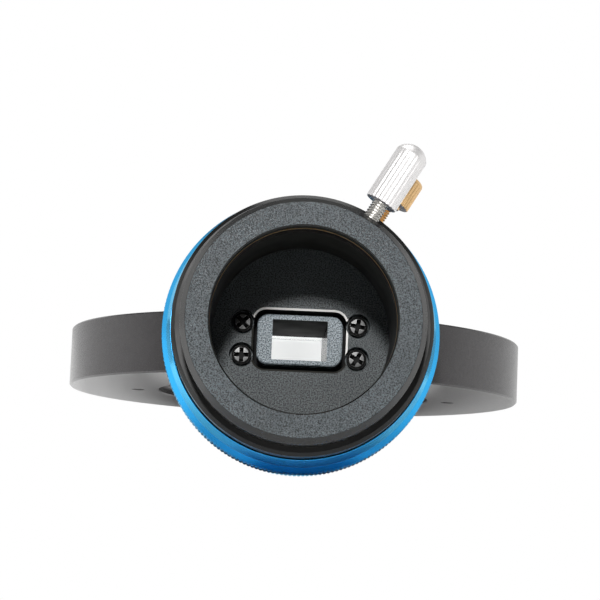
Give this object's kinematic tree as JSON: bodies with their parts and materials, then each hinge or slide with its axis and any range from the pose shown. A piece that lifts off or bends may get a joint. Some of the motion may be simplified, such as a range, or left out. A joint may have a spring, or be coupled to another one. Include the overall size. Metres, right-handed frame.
{
  "type": "off-axis guider",
  "caption": "Thin round body for a telescope's light path, with a prism on a sliding stalk and a side guide port with a helical focuser and thumbscrew eyepiece clamp.",
  "frame": {"origin": "centre of the light opening at the telescope-side face, on the optical axis", "axes": "+Z along the optical axis towards the camera side, -Y out along the guide port's axis, which lies at half the body's thickness"},
  "size_m": [0.09, 0.1253, 0.0577],
  "materials": {
    "body_black": "fine bead-blasted black anodising",
    "base_black": "satin black anodising",
    "holder_black": "bead-blasted black anodising with turned bevels",
    "stalk_black": "bead-blasted black anodising",
    "ring_blue": "glossy blue anodising",
    "screw_black": "black oxide",
    "steel": "bright",
    "knob_nickel": "bright nickel",
    "brass": "machined",
    "nylon": "natural",
    "prism_glass": "polished"
  },
  "bodies": {
    "guider": {"guider_body": "body_black", "focuser_base": "base_black", "base_screws": "screw_black", "guide_pins": "steel", "ring_retainer": "steel", "slip_washer": "nylon", "stalk_lock_screws": "screw_black"},
    "stalk": {"prism_stalk": "stalk_black", "prism": "prism_glass", "prism_cover": "stalk_black"},
    "focus_ring": {"focusing_ring": "ring_blue", "ring_carrier": "base_black"},
    "focus_tube": {"drawtube": "holder_black", "eyepiece_holder": "holder_black", "compression_ring": "brass"},
    "clamp_pad": {"clamp_screw_pad": "nylon"},
    "clamp_screw": {"clamp_screw_stud": "steel", "clamp_screw_knob": "knob_nickel"},
    "lock_pad": {"lock_screw_pad": "nylon"},
    "lock_screw": {"lock_screw": "brass"}
  },
  "joints": [
    {"name": "stalk_slide", "type": "slide", "parent": "guider", "child": "stalk", "axis": [0, 1, 0], "range_m": [-0.0025, 0.0018]},
    {"name": "ring_turn", "type": "hinge", "parent": "guider", "child": "focus_ring", "pos_m": [0, -0.05865, 0.00575], "axis": [0, -1, 0], "range_deg": [-225, 135]},
    {"name": "focus_slide", "type": "slide", "parent": "guider", "child": "focus_tube", "axis": [0, -1, 0], "range_m": [-0.005, 0.003]},
    {"name": "clamp_travel", "type": "slide", "parent": "focus_tube", "child": "clamp_pad", "axis": [0.5075, 0, 0.8616], "range_m": [-0.0002, 0.0015]},
    {"name": "clamp_turn", "type": "hinge", "parent": "clamp_pad", "child": "clamp_screw", "pos_m": [0, -0.0756, 0.00575], "axis": [0.5075, 0, 0.8616], "range_deg": [-144, 1080]},
    {"name": "lock_travel", "type": "slide", "parent": "guider", "child": "lock_pad", "axis": [0.506, 0, 0.8625], "range_m": [-0.00005, 0.001]},
    {"name": "lock_turn", "type": "hinge", "parent": "lock_pad", "child": "lock_screw", "pos_m": [0, -0.0477, 0.00575], "axis": [0.506, 0, 0.8625], "range_deg": [-36, 720]}
  ],
  "couplings": [
    {"joint": "focus_slide", "follows": "ring_turn", "m_per_rad": 0.0012732},
    {"joint": "clamp_turn", "follows": "clamp_travel", "rad_per_m": 12566},
    {"joint": "lock_turn", "follows": "lock_travel", "rad_per_m": 12566}
  ]
}
